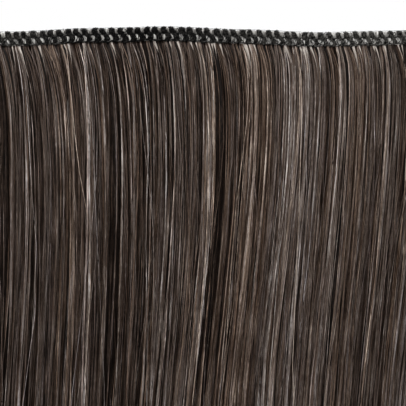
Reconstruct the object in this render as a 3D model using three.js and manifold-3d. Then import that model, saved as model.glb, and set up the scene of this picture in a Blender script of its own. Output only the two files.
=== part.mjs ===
// A machine-sewn hair weft: straight hair that falls in soft locks from a narrow sewn band.
// Millimetres, +Z up, +X along the band, with the face of the hair towards -Y.
// The origin is the middle of the band's flat back, where a weft is sewn, taped or clipped on.
import * as THREE from "three";
import { mergeVertices } from "three/addons/utils/BufferGeometryUtils.js";
import Module from "manifold-3d";

const wasm = await Module();
wasm.setup();

// Driving dimensions of the whole weft
const WEFT_WIDTH = 250;
const HAIR_LENGTH = 400;
const BAND_HEIGHT = 4.4;
const BAND_THICKNESS = 1.2;
const STITCH_PITCH = 2.5;
const CLEARANCE = 0.2;

// The seam rides up and down a little: each wave has a height, a length and the place of one crest.
const SEAM_WAVES = [
  { height: 0.74, length: 101.7, crest: -14.4 },
  { height: 0.1, length: 27.5, crest: -9.4 },
];

// The pressed band under the stitching
const BAND_END_RADIUS = 0.9;
const BAND_END_STEPS = 3;
const BAND_STEPS = 34;

// The two rows of stitches on the band's face. A bump is the fat of a stitch and a waist lies between two.
// Heights count from the middle of the band, and the slant is a bump's lean to the right, going down.
const STITCH_ROWS = [
  { name: "edge_stitches", height: 1.42, bump: 0.92, waist: 0.6, depth: 1.15, slant: -0.2, shift: 0 },
  { name: "chain_stitches", height: -0.62, bump: 0.86, waist: 0.5, depth: 1.0, slant: 0.5, shift: 0.5 },
];
const STITCH_SECTION = [
  { out: 0, up: -0.85 },
  { out: 0, up: 0.85 },
  { out: 0.72, up: 1 },
  { out: 1, up: 0 },
  { out: 0.72, up: -1 },
];
const WAIST_DEPTH_SHARE = 0.62;
const ROW_END_INSET = 1.2;

// The thin thread that closes the stitches along the band's lower edge
const BINDING_RADIUS = 0.22;
const BINDING_SIDES = 5;
const BINDING_STEPS = 28;

// The hair: locks of two and a half stitches, fused to a head strip below the band and to each other
const LOCK_PITCH = 2.5 * STITCH_PITCH;
const LOCK_COUNT = WEFT_WIDTH / LOCK_PITCH;
const HEAD_HEIGHT = 3;
const HEAD_THICKNESS = 0.9;
const HEAD_STEPS = 22;
const TIP_SPREAD = 34;
const TIP_STRAY = { aside: 1.9, from: 0.6, to: 1 };

// A lock's cross-section, with a round face and a blunt back, as shares of its half width and half depth
const LOCK_OUTLINE = [
  { across: -1, out: 0 },
  { across: 0, out: -1 },
  { across: 1, out: 0 },
  { across: 0.5, out: 1 },
  { across: -0.5, out: 1 },
];

// A lock's sizes from the root down: "down" is a share of its length, and "forward" is how far
// its middle stands in front of the band's back.
const LOCK_SECTIONS = [
  { down: 0.0, halfWidth: 3.0, halfDepth: 0.5, forward: 0.75 },
  { down: 0.015, halfWidth: 3.3, halfDepth: 1.1, forward: 1.45 },
  { down: 0.06, halfWidth: 3.6, halfDepth: 1.45, forward: 2.2 },
  { down: 0.18, halfWidth: 3.75, halfDepth: 1.52, forward: 2.8 },
  { down: 0.33, halfWidth: 3.8, halfDepth: 1.55, forward: 3.1 },
  { down: 0.62, halfWidth: 3.8, halfDepth: 1.55, forward: 3.1 },
  { down: 0.92, halfWidth: 3.3, halfDepth: 1.1, forward: 3.1 },
  { down: 1.0, halfWidth: 1.2, halfDepth: 0.3, forward: 3.1 },
];

// How the hair flows: it leaves the seam leaning to the right, sways back to the left and then hangs.
// The lean's reach and the sway change from the left part of the band to the right part.
const LEAN_SLOPE = 0.34;
const LEFT_FLOW = { reach: 11, sway: 6, from: 45, to: 190 };
const RIGHT_FLOW = { reach: 5, sway: 10.5, from: 0, to: 150 };
const FLOW_TURN = { from: -40, to: 30 };
const WANDER = { offset: 0.6, length: 170, across: 63 };
const DRAPE = { depth: 1.2, length: 78, crest: 12, from: 8, to: 130 };
const LAYER_STEP = 0.3;

// The golden share scatters the locks' lengths and the stray of their tips, without a random draw.
const GOLDEN_SHARE = 0.618034;

const MATERIALS = {
  hair: new THREE.MeshStandardMaterial({ color: 0x463c37, roughness: 0.45, metalness: 0 }),
  thread: new THREE.MeshStandardMaterial({ color: 0x15130f, roughness: 0.5, metalness: 0 }),
  band: new THREE.MeshStandardMaterial({ color: 0x6e6760, roughness: 0.5, metalness: 0 }),
};

// How far the seam's middle lies above the origin at a place along the band.
function seamRise(x) {
  return SEAM_WAVES.reduce(
    (rise, wave) => rise + wave.height * Math.cos((2 * Math.PI * (x - wave.crest)) / wave.length),
    0,
  );
}

// The height of the hair's upper edge, just below the band.
function hairTop(x) {
  return seamRise(x) - BAND_HEIGHT / 2 - CLEARANCE;
}

// Even places along the band, from -reach to +reach.
function placesAlong(reach, steps) {
  return Array.from({ length: steps + 1 }, (_, step) => -reach + (2 * reach * step) / steps);
}

// A closed surface through rings of equal length, with a fan at each end.
function loft(rings) {
  const sides = rings[0].length;
  const faces = [];
  for (let ring = 0; ring + 1 < rings.length; ring++) {
    for (let side = 0; side < sides; side++) {
      const a = ring * sides + side;
      const b = ring * sides + ((side + 1) % sides);
      const c = a + sides;
      const d = b + sides;
      faces.push(a, b, d, a, d, c);
    }
  }
  const last = (rings.length - 1) * sides;
  for (let side = 1; side + 1 < sides; side++) {
    faces.push(0, side + 1, side);
    faces.push(last, last + side, last + side + 1);
  }
  return new THREE.BufferGeometry().setFromPoints(rings.flat()).setIndex(faces);
}

// A closed geometry as a solid that can be joined to others.
function solidOf(geometry) {
  const merged = mergeVertices(geometry);
  const mesh = new wasm.Mesh({
    numProp: 3,
    vertProperties: new Float32Array(merged.attributes.position.array),
    triVerts: new Uint32Array(merged.index.array),
  });
  return new wasm.Manifold(mesh);
}

// A joined solid back as a geometry.
function geometryOf(solid) {
  const mesh = solid.getMesh();
  return new THREE.BufferGeometry()
    .setAttribute("position", new THREE.BufferAttribute(mesh.vertProperties, mesh.numProp))
    .setIndex(new THREE.BufferAttribute(mesh.triVerts, 1));
}

// The folded and pressed heads of the hair: a strip with a flat back, round corners and the seam's wave.
function bandGeometry() {
  const end = WEFT_WIDTH / 2;
  const reach = end - BAND_END_RADIUS;
  const half = BAND_HEIGHT / 2;
  const straight = half - BAND_END_RADIUS;
  const places = placesAlong(reach, BAND_STEPS);
  const left = seamRise(-reach);
  const right = seamRise(reach);
  const outline = new THREE.Shape(places.map((x) => new THREE.Vector2(x, seamRise(x) - half)));
  outline.quadraticCurveTo(end, right - half, end, right - straight);
  outline.lineTo(end, right + straight);
  outline.quadraticCurveTo(end, right + half, reach, right + half);
  for (const x of places.toReversed().slice(1)) {
    outline.lineTo(x, seamRise(x) + half);
  }
  outline.quadraticCurveTo(-end, left + half, -end, left + straight);
  outline.lineTo(-end, left - straight);
  outline.quadraticCurveTo(-end, left - half, -reach, left - half);
  const strip = new THREE.ExtrudeGeometry(outline, {
    depth: BAND_THICKNESS,
    bevelEnabled: false,
    curveSegments: BAND_END_STEPS,
  });
  return strip.rotateX(Math.PI / 2);
}

// A row of stitches on the band's face: half-round bumps with narrow waists between them.
function stitchRowGeometry(row) {
  const back = -BAND_THICKNESS - CLEARANCE;
  const reach = WEFT_WIDTH / 2 - ROW_END_INSET;
  const first = -WEFT_WIDTH / 2 + row.shift * STITCH_PITCH;
  const rings = [];
  for (let station = 0; first + (station * STITCH_PITCH) / 2 <= reach; station++) {
    const x = first + (station * STITCH_PITCH) / 2;
    if (x < -reach) continue;
    const isBump = station % 2 === 1;
    const halfHeight = isBump ? row.bump : row.waist;
    const depth = row.depth * (isBump ? 1 : WAIST_DEPTH_SHARE);
    rings.push(
      STITCH_SECTION.map(({ out, up }) => {
        const along = x - row.slant * up * halfHeight;
        return new THREE.Vector3(along, back - out * depth, seamRise(along) + row.height + up * halfHeight);
      }),
    );
  }
  return loft(rings);
}

// The thin closing thread: a round section drawn along the lower edge of the band's face.
function bindingGeometry() {
  const y = -BAND_THICKNESS - CLEARANCE - BINDING_RADIUS;
  const below = BAND_HEIGHT / 2 - BINDING_RADIUS;
  const route = placesAlong(WEFT_WIDTH / 2 - ROW_END_INSET, BINDING_STEPS).map(
    (x) => new THREE.Vector3(x, y, seamRise(x) - below),
  );
  const corners = Array.from({ length: BINDING_SIDES }, (_, side) => {
    const angle = (2 * Math.PI * side) / BINDING_SIDES;
    return new THREE.Vector2(BINDING_RADIUS * Math.cos(angle), BINDING_RADIUS * Math.sin(angle));
  });
  return new THREE.ExtrudeGeometry(new THREE.Shape(corners), {
    steps: BINDING_STEPS,
    extrudePath: new THREE.CatmullRomCurve3(route),
    bevelEnabled: false,
  });
}

// How far the hair that is rooted at a place along the band has moved aside at a depth below it.
function flowAside(rootX, depth) {
  const { lerp, smoothstep } = THREE.MathUtils;
  const turn = smoothstep(rootX, FLOW_TURN.from, FLOW_TURN.to);
  const reach = lerp(LEFT_FLOW.reach, RIGHT_FLOW.reach, turn);
  const sway = lerp(LEFT_FLOW.sway, RIGHT_FLOW.sway, turn);
  const from = lerp(LEFT_FLOW.from, RIGHT_FLOW.from, turn);
  const to = lerp(LEFT_FLOW.to, RIGHT_FLOW.to, turn);
  const leaning = LEAN_SLOPE * reach * (1 - Math.exp(-depth / reach));
  const phase = 2 * Math.PI * (depth / WANDER.length + rootX / WANDER.across);
  const wandering = WANDER.offset * Math.sin(phase) * smoothstep(depth, 0, WANDER.length);
  return leaning - sway * smoothstep(depth, from, to) + wandering;
}

// The place of a lock's middle at a depth below the band. Every other lock lies in front of its neighbours.
function lockMiddle(index, rootX, depth, forward) {
  const hang = THREE.MathUtils.smoothstep(depth, DRAPE.from, DRAPE.to);
  const drape = DRAPE.depth * Math.cos((2 * Math.PI * (rootX - DRAPE.crest)) / DRAPE.length);
  const layer = index % 2 === 0 ? LAYER_STEP : -LAYER_STEP;
  const x = rootX + flowAside(rootX, depth);
  return new THREE.Vector3(x, -forward - (drape + layer) * hang, hairTop(rootX) - depth);
}

// How far a lock has strayed from the flow, to either side, at a share of its length.
function strayAside(index, down) {
  const side = 2 * (((index + 1) ** 2 * GOLDEN_SHARE) % 1) - 1;
  return side * TIP_STRAY.aside * THREE.MathUtils.smoothstep(down, TIP_STRAY.from, TIP_STRAY.to);
}

// One lock: it swells below the seam, runs down and thins to its tip.
function lockGeometry(index) {
  const rootX = -WEFT_WIDTH / 2 + (index + 0.5) * LOCK_PITCH;
  const length = HAIR_LENGTH - TIP_SPREAD * (((index + 1) * GOLDEN_SHARE) % 1);
  const rings = LOCK_SECTIONS.map(({ down, halfWidth, halfDepth, forward }) => {
    const middle = lockMiddle(index, rootX, down * length, forward);
    const x = middle.x + strayAside(index, down);
    return LOCK_OUTLINE.map(
      ({ across, out }) => new THREE.Vector3(x + across * halfWidth, middle.y - out * halfDepth, middle.z),
    );
  });
  return loft(rings);
}

// The strip below the band in which every lock is rooted.
function headGeometry() {
  const back = (HEAD_THICKNESS - BAND_THICKNESS) / 2;
  const front = back - HEAD_THICKNESS;
  const rings = placesAlong(WEFT_WIDTH / 2 - CLEARANCE, HEAD_STEPS).map((x) => {
    const top = hairTop(x);
    return [
      new THREE.Vector3(x, back, top),
      new THREE.Vector3(x, front, top),
      new THREE.Vector3(x, front, top - HEAD_HEIGHT),
      new THREE.Vector3(x, back, top - HEAD_HEIGHT),
    ];
  });
  return loft(rings);
}

// The whole fall of hair: the locks joined to the head strip and, where they overlap, to each other.
function curtainGeometry() {
  let curtain = solidOf(headGeometry());
  for (let index = 0; index < LOCK_COUNT; index++) {
    curtain = curtain.add(solidOf(lockGeometry(index)));
  }
  return geometryOf(curtain);
}

// A named piece with its own material.
function piece(name, geometry, material) {
  const mesh = new THREE.Mesh(geometry, material.clone());
  mesh.name = name;
  return mesh;
}

const weft = new THREE.Group();
weft.name = "hair_weft";
weft.add(piece("weft_band", bandGeometry(), MATERIALS.band));
for (const row of STITCH_ROWS) {
  weft.add(piece(row.name, stitchRowGeometry(row), MATERIALS.thread));
}
weft.add(piece("binding_thread", bindingGeometry(), MATERIALS.thread));
weft.add(piece("hair_curtain", curtainGeometry(), MATERIALS.hair));

export default weft;
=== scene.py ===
"""Dress of a machine-sewn hair weft: its strands, folded heads, stitches, finishes, light and camera.

Sizes in the classes are millimetres in the part's own frame: +X along the band, +Z up, and the face
of the hair towards -Y. Meshes, lights and the camera are placed in metres.
"""
import logging
import math
from dataclasses import dataclass
from enum import Enum
from typing import Any, ClassVar, Sequence

import bmesh
import bpy
import numpy as np
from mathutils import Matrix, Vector


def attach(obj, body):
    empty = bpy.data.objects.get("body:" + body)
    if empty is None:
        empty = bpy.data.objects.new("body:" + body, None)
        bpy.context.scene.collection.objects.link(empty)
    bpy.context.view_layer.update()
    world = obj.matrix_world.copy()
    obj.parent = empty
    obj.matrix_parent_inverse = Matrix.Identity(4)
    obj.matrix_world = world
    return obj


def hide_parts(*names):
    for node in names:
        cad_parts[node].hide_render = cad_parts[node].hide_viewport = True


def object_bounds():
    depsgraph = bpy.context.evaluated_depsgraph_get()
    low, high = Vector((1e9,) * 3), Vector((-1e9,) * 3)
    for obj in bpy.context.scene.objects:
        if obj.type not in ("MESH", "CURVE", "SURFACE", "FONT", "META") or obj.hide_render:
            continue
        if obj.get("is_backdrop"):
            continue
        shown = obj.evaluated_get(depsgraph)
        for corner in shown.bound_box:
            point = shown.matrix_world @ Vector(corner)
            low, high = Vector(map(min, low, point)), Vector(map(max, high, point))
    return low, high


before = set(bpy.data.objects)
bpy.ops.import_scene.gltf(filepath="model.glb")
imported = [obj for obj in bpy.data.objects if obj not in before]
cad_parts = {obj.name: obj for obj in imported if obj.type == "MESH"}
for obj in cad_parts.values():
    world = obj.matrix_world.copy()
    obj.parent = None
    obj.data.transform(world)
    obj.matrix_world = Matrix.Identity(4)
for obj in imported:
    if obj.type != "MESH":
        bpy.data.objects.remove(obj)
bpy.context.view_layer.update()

MM = 0.001
BODY = "root"
STRAND_MAP = "OFBake"
LOG = logging.getLogger("hair_weft")

# Hair tones are halved on the map, so that ash and golden ones each have a part of it.
MAP_PARTS = 2
# How many turns a tube's section makes from tone 0 to tone 1, so that neighbours are turned apart.
TURNS_OVER_TONES = 29.0
# How far a cap's corners lie apart along the map, so that no cap is a line there.
CAP_SKEW = 0.001
# A ply's distance from the middle of its yarn, and its radius, as shares of the yarn's radius.
PLY_OFFSET = 0.46
PLY_RADIUS = 0.58

Colour = tuple[float, float, float]
Stops = tuple[tuple[float, Colour], ...]
Pair = tuple[float, float]
Triple = tuple[float, float, float]
Socket = bpy.types.NodeSocket
Piece = bpy.types.Object
Material = bpy.types.Material


class Node(Enum):
    """The solids that the dressed pieces stand for."""

    BAND = "weft_band"
    EDGE = "edge_stitches"
    CHAIN = "chain_stitches"
    BINDING = "binding_thread"
    CURTAIN = "hair_curtain"


class Slot(Enum):
    """The record's material slots."""

    HAIR = "hair"
    THREAD = "thread"
    BAND = "band"


class Direction(Enum):
    """A direction that a tube never runs along, from which its sections are turned."""

    ALONG_BAND = (1.0, 0.0, 0.0)
    OUT = (0.0, -1.0, 0.0)
    UP = (0.0, 0.0, 1.0)


class Blend(Enum):
    """A way of blending two colours."""

    MIX = "MIX"
    MULTIPLY = "MULTIPLY"


class NoiseLayer(Enum):
    """Layers of the noise over a strand's map, far enough apart to be unlike one another."""

    LENGTH = 0.0
    WEAR = 3.0
    OWN = 5.0
    WARM = 7.0
    PICKED = 11.0
    COOL = 17.0
    CAUGHT = 23.0
    GLINTS = 31.0


class Term:
    """A number in a material's node tree, which Python's operators turn into Math nodes."""

    def __init__(self, sheet: "NodeSheet", socket: Socket) -> None:
        """Wraps an output socket of a node on a sheet."""
        self.sheet = sheet
        self.socket = socket

    def _math(self, operation: str, first: Any, second: Any = 0.0, clamp: bool = False) -> "Term":
        """Adds one Math node.

        Args:
            operation: The Math node's operation.
            first: The first number or term.
            second: The second number or term.
            clamp: Whether the result is held between 0 and 1.

        Returns:
            The node's result as a term.
        """
        settings = {"operation": operation, "use_clamp": clamp}
        node = self.sheet.node("ShaderNodeMath", settings, {0: first, 1: second})
        return Term(self.sheet, node.outputs[0])

    def __add__(self, other: Any) -> "Term":
        """self + other."""
        return self._math("ADD", self, other)

    def __radd__(self, other: Any) -> "Term":
        """other + self."""
        return self._math("ADD", other, self)

    def __sub__(self, other: Any) -> "Term":
        """self - other."""
        return self._math("SUBTRACT", self, other)

    def __rsub__(self, other: Any) -> "Term":
        """other - self."""
        return self._math("SUBTRACT", other, self)

    def __mul__(self, other: Any) -> "Term":
        """self * other."""
        return self._math("MULTIPLY", self, other)

    def __rmul__(self, other: Any) -> "Term":
        """other * self."""
        return self._math("MULTIPLY", other, self)

    def clamped(self) -> "Term":
        """This term held between 0 and 1."""
        return self._math("ADD", self, 0.0, clamp=True)

    def sine(self) -> "Term":
        """The sine of this term in radians."""
        return self._math("SINE", self)

    def swing(self) -> "Term":
        """A noise from 0 to 1 as a swing to both sides of nothing."""
        return self - 0.5

    def above(self, edge: float, softness: float) -> "Term":
        """0 below an edge and 1 above it, with a soft step between."""
        return ((self - edge) * (1.0 / softness)).clamped()


class NodeSheet:
    """The node tree of one new material, with its Principled shader."""

    def __init__(self, name: str) -> None:
        """Makes the material and keeps its shader.

        Args:
            name: The material's name.
        """
        self.material = bpy.data.materials.new(name)
        self.material.use_nodes = True
        self.tree = self.material.node_tree
        self.shader = self.tree.nodes["Principled BSDF"]

    def node(self, kind: str, settings: dict[str, Any] | None = None, sockets: dict | None = None) -> Any:
        """Adds any node.

        Args:
            kind: The node's type.
            settings: Its properties, set first. "stops" holds a colour ramp's places and colours.
            sockets: A value, socket or term for each input, by name or number.

        Returns:
            The new node.
        """
        made = self.tree.nodes.new(kind)
        for name, value in (settings or {}).items():
            if name == "stops":
                self._set_stops(made.color_ramp, value)
            else:
                setattr(made, name, value)
        self._feed(made, sockets or {})
        return made

    def shade(self, **sockets: Any) -> None:
        """Sets or links the shader's inputs, named with _ for each space."""
        self._feed(self.shader, {name.replace("_", " "): value for name, value in sockets.items()})

    def _feed(self, node: Any, sockets: dict) -> None:
        """Sets or links the inputs of a node.

        Args:
            node: The node.
            sockets: A value, socket or term for each input, by name or number.
        """
        for key, value in sockets.items():
            if isinstance(value, Term):
                value = value.socket
            if isinstance(value, bpy.types.NodeSocket):
                self.tree.links.new(value, node.inputs[key])
            else:
                node.inputs[key].default_value = value

    @staticmethod
    def _set_stops(ramp: Any, stops: Stops) -> None:
        """Gives a colour ramp its stops.

        Args:
            ramp: The colour ramp.
            stops: The places and colours, from the first place to the last.
        """
        while len(ramp.elements) < len(stops):
            ramp.elements.new(1.0)
        for element, (place, colour) in zip(ramp.elements, stops):
            element.position = place
            element.color = (*colour, 1.0)

    def strand_place(self) -> tuple[Term, Term]:
        """Reads a strand's place on its map.

        Returns:
            Its own tone and the share of its length.
        """
        place = self.node("ShaderNodeUVMap", {"uv_map": STRAND_MAP})
        x, y, _ = self.parts(place.outputs["UV"])
        return x, y

    def object_place(self) -> Socket:
        """A place in the part's own frame."""
        return self.node("ShaderNodeTexCoord").outputs["Object"]

    def parts(self, vector: Socket) -> tuple[Term, ...]:
        """The three numbers of a vector."""
        made = self.node("ShaderNodeSeparateXYZ", {}, {"Vector": vector})
        return tuple(Term(self, socket) for socket in made.outputs)

    def noise(self, place: Socket, scale: float, detail: float = 2.0) -> Term:
        """Soft noise from 0 to 1 at a place."""
        sockets = {"Vector": place, "Scale": scale, "Detail": detail}
        return Term(self, self.node("ShaderNodeTexNoise", {}, sockets).outputs["Fac"])

    def cells(self, x: Any, y: Any, layer: NoiseLayer, detail: float = 2.0) -> Term:
        """Soft noise from 0 to 1 over the cells of a strand's map, on one of its layers."""
        place = self.node("ShaderNodeCombineXYZ", {}, {"X": x, "Y": y, "Z": layer.value})
        return self.noise(place.outputs[0], 1.0, detail)

    def ramp(self, term: Term, stops: Stops) -> Socket:
        """A colour picked from stops by a term, which is held between 0 and 1."""
        return self.node("ShaderNodeValToRGB", {"stops": stops}, {"Fac": term.clamped()}).outputs["Color"]

    def mix(self, share: Any, first: Any, second: Any, blend: Blend = Blend.MIX) -> Socket:
        """A blend of two colours.

        Args:
            share: How much of the second colour is used, from 0 to 1.
            first: The first colour or socket.
            second: The second colour or socket.
            blend: The way of blending.

        Returns:
            The blended colour.
        """
        settings = {"data_type": "RGBA", "blend_type": blend.value}
        rgba = [(*c, 1.0) if isinstance(c, tuple) else c for c in (first, second)]
        made = self.node("ShaderNodeMix", settings, {"Factor": share, 6: rgba[0], 7: rgba[1]})
        return made.outputs[2]

    def bump(self, height: Term, strength: float, distance: float) -> Socket:
        """A normal that follows a height, whose distance is in millimetres."""
        sockets = {"Height": height, "Strength": strength, "Distance": distance * MM}
        return self.node("ShaderNodeBump", {}, sockets).outputs["Normal"]


@dataclass(frozen=True)
class Wave:
    """A wave along the band: its height, its length and the place of one crest."""

    height: float
    length: float
    crest: float

    def cosine(self, x: np.ndarray) -> np.ndarray:
        """The wave at places along the band, from -1 in a trough to 1 at a crest."""
        return np.cos(2 * np.pi * (x - self.crest) / self.length)

    def swell(self, x: np.ndarray) -> np.ndarray:
        """The height of a like wave with narrow crests and wide troughs, whose mean is nothing."""
        crests = (0.5 + 0.5 * self.cosine(x)) ** 2
        return self.height * (2 * crests - 0.75)


@dataclass(frozen=True)
class Seam:
    """The line and the sizes of the sewn band.

    Attributes:
        width: The band's length from end to end.
        band_height: Its height.
        band_thickness: Its thickness.
        pitch: The length of a stitch.
        end_inset: How far the stitches stay from the ends.
        waves: The waves of the band's line.
        slack: How much thinner the thread lies between two crests, as a share.
    """

    width: float = 250.0
    band_height: float = 4.4
    band_thickness: float = 1.2
    pitch: float = 2.5
    end_inset: float = 1.2
    waves: tuple[Wave, ...] = (Wave(0.74, 101.7, -14.4), Wave(0.1, 27.5, -9.4))
    slack: Wave = Wave(0.46, 130.0, -20.0)

    def rise(self, x: np.ndarray) -> np.ndarray:
        """How far the band's middle lies above the origin at places along it."""
        return sum(wave.height * wave.cosine(x) for wave in self.waves)

    def hair_top(self, x: np.ndarray) -> np.ndarray:
        """The height of the band's lower edge, where the hair comes out."""
        return self.rise(x) - self.band_height / 2

    def fullness(self, x: np.ndarray) -> np.ndarray:
        """How thick the thread lies at places along the band, where 1 is fullest."""
        return 1.0 - self.slack.height * (0.5 - 0.5 * self.slack.cosine(x))

    def stitch_places(self, shift: float) -> np.ndarray:
        """The middles of a row's stitches.

        Args:
            shift: How far the row is shifted along the band, as a share of the pitch.

        Returns:
            The places along the band.
        """
        first = -self.width / 2 + (0.5 + shift) * self.pitch
        places = first + self.pitch * np.arange(self.strips(self.pitch))
        return places[np.abs(places) < self.width / 2 - self.end_inset]

    def strips(self, width: float) -> int:
        """How many strips of a width the band is split into."""
        return round(self.width / width)

    def strip_of(self, x: np.ndarray, width: float) -> np.ndarray:
        """The number of the strip that holds each place, from the left end."""
        return np.clip(((x + self.width / 2) / width).astype(int), 0, self.strips(width) - 1)

    def strip_middle(self, strip: np.ndarray, width: float) -> np.ndarray:
        """The place of each strip's middle."""
        return -self.width / 2 + (strip + 0.5) * width


@dataclass(frozen=True)
class HairFinish:
    """Glossy straight hair whose colour changes from strand to strand and softly along each one, with
    painted highlights and painted shade in it.

    Attributes:
        stops: The colours from the darkest tone to the lightest.
        highlight_stops: The painted highlight colours of the pale root wisps, from root to tip.
            highlight_from, highlight_edge: Where their part of the map starts, and how soft that step is.
            highlight_middle, highlight_drift: The noise that moves them along these colours, and how far.
        golden_from, golden_edge: Where the golden tones' part of the map starts, and its step.
        golden, ashen: The tints of the golden and of the ash tones.
        warm, warm_share, warm_step: The tint of the warm stretches, its share, and where the noise gives it.
        cool, cool_share, cool_step: The same for the cool stretches.
        wisp_cells, wisp_length_cells, wisp_drift: How finely and how far whole wisps get lighter and darker
        along their length: their own tone, together with painted highlight and shade where they catch the
        light.
        strand_cells, strand_drift: How finely and how far strands differ.
        length_cells, length_detail, length_drift: How they change along their length.
        glint_cells, glint_drift: How finely and how far short painted glints and dark breaks vary each
            strand.
        middle_tone, evening: The tone that all come closer to lower down, and how much.
        parting, apart_by: How much more strands differ lower down, and at which share of the length.
        painted_depth_shade: How much darker the hair is from there on: painted shade for the light that
            falls off lower down.
        picked_step, root_highlight, painted_root_shade: Which wisps get a painted highlight at the root, how
        bright it is, and how much painted shade darkens the others there.
        highlight_length, fade_rate, fade_change: How far the painted highlight and shade reach down, and how
            that differs.
        gloss: The roughness of the glossiest and of the dullest stretches.
        shine: The strength of the reflections.
    """

    name: str = "ash_brown_hair"
    stops: Stops = (
        (0.0, (0.0034, 0.0017, 0.001)),
        (0.28, (0.0285, 0.0178, 0.0126)),
        (0.52, (0.0845, 0.0622, 0.0495)),
        (0.76, (0.18, 0.147, 0.125)),
        (0.92, (0.35, 0.3, 0.27)),
        (1.0, (0.53, 0.475, 0.435)),
    )
    highlight_stops: Stops = (
        (0.0, (0.44, 0.4, 0.365)),
        (0.55, (0.3, 0.263, 0.235)),
        (1.0, (0.14, 0.114, 0.097)),
    )
    highlight_from: float = 0.946
    highlight_edge: float = 0.004
    highlight_middle: float = 0.45
    highlight_drift: float = 1.8
    golden_from: float = 0.47
    golden_edge: float = 0.0002
    golden: Colour = (1.06, 0.99, 0.91)
    ashen: Colour = (0.98, 1.0, 1.02)
    warm: Colour = (1.35, 1.0, 0.72)
    warm_share: float = 0.36
    warm_step: Pair = (0.54, 0.1)
    cool: Colour = (0.92, 0.98, 1.24)
    cool_share: float = 0.6
    cool_step: Pair = (0.5, 0.12)
    wisp_cells: float = 61.0
    wisp_length_cells: float = 26.0
    wisp_drift: float = 1.15
    strand_cells: float = 620.0
    strand_drift: float = 0.88
    length_cells: float = 52.0
    length_detail: float = 3.0
    length_drift: float = 0.78
    glint_cells: float = 260.0
    glint_drift: float = 0.7
    middle_tone: float = 0.42
    evening: float = 0.16
    parting: float = 1.1
    apart_by: float = 0.22
    painted_depth_shade: float = 0.06
    picked_step: Pair = (0.6, 0.1)
    root_highlight: float = 0.25
    painted_root_shade: float = 0.06
    highlight_length: float = 0.055
    fade_rate: float = 2.2
    fade_change: float = -2.4
    gloss: Pair = (0.36, 0.55)
    shine: float = 0.07

    def material(self) -> Material:
        """Makes the material.

        Returns:
            The material, which reads each strand's tone and length from its map.
        """
        sheet = NodeSheet(self.name)
        place, along = sheet.strand_place()
        golden = place.above(self.golden_from, self.golden_edge)
        tone = (place - golden * self.golden_from) * MAP_PARTS
        strand = tone * self.strand_cells
        own = sheet.cells(strand, golden, NoiseLayer.OWN)
        tint = sheet.mix(golden, self.ashen, self.golden)
        light = sheet.ramp(self._lightness(sheet, tone, along, own), self.stops)
        colour = sheet.mix(1.0, light, tint, Blend.MULTIPLY)
        warmth = sheet.cells(strand, along, NoiseLayer.WARM).above(*self.warm_step)
        warmed = sheet.mix(warmth * self.warm_share, colour, self.warm, Blend.MULTIPLY)
        chill = sheet.cells(strand, along, NoiseLayer.COOL).above(*self.cool_step)
        cooled = sheet.mix(chill * self.cool_share, warmed, self.cool, Blend.MULTIPLY)
        # The pale root wisps take painted highlight colours, brightest at the root.
        pale = sheet.ramp(along + (own - self.highlight_middle) * self.highlight_drift, self.highlight_stops)
        shown = sheet.mix(place.above(self.highlight_from, self.highlight_edge), cooled, pale)
        wear = sheet.cells(strand, along * self.length_cells, NoiseLayer.WEAR)
        low, high = self.gloss
        sheet.shade(Base_Color=shown, Roughness=wear * (high - low) + low, Specular_IOR_Level=self.shine)
        return sheet.material

    def _lightness(self, sheet: NodeSheet, tone: Term, along: Term, own: Term) -> Term:
        """Works out how light the hair is at each place, with its painted highlights and shade.

        Args:
            sheet: The material's node tree.
            tone: The strand's tone.
            along: The share of its length.
            own: The strand's own noise.

        Returns:
            The place on the colour stops.
        """
        strand, wisp = tone * self.strand_cells, tone * self.wisp_cells
        length = sheet.cells(strand, along * self.length_cells, NoiseLayer.LENGTH, self.length_detail)
        # Short painted glints and dark breaks along each strand.
        glints = sheet.cells(strand, along * self.glint_cells, NoiseLayer.GLINTS)
        caught = sheet.cells(wisp, along * self.wisp_length_cells, NoiseLayer.CAUGHT)
        # The wisps that get a painted highlight at the root; the others get painted shade there.
        picked = sheet.cells(wisp, 0.0, NoiseLayer.PICKED).above(*self.picked_step)
        down = (along * (1.0 / self.apart_by)).clamped()
        drift = own.swing() * (down * self.parting + 1.0) * self.strand_drift
        drift = drift + length.swing() * self.length_drift + glints.swing() * self.glint_drift
        evened = (tone - self.middle_tone) * (1.0 - down * self.evening) + self.middle_tone
        # Whole wisps lighter and darker over stretches of their length: their own tone, together with
        # painted highlight and shade where they catch the light.
        swell = caught.swing() * self.wisp_drift
        # The painted root highlight and root shade fade out down the length.
        fade_rate = own * self.fade_change + self.fade_rate
        fading = (1.0 - along * (1.0 / self.highlight_length) * fade_rate).clamped()
        root_highlight_and_shade = (picked * self.root_highlight - self.painted_root_shade) * fading
        # Painted shade darkens the hair lower down, where less light reaches.
        return evened + drift + swell + root_highlight_and_shade - down * self.painted_depth_shade


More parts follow.
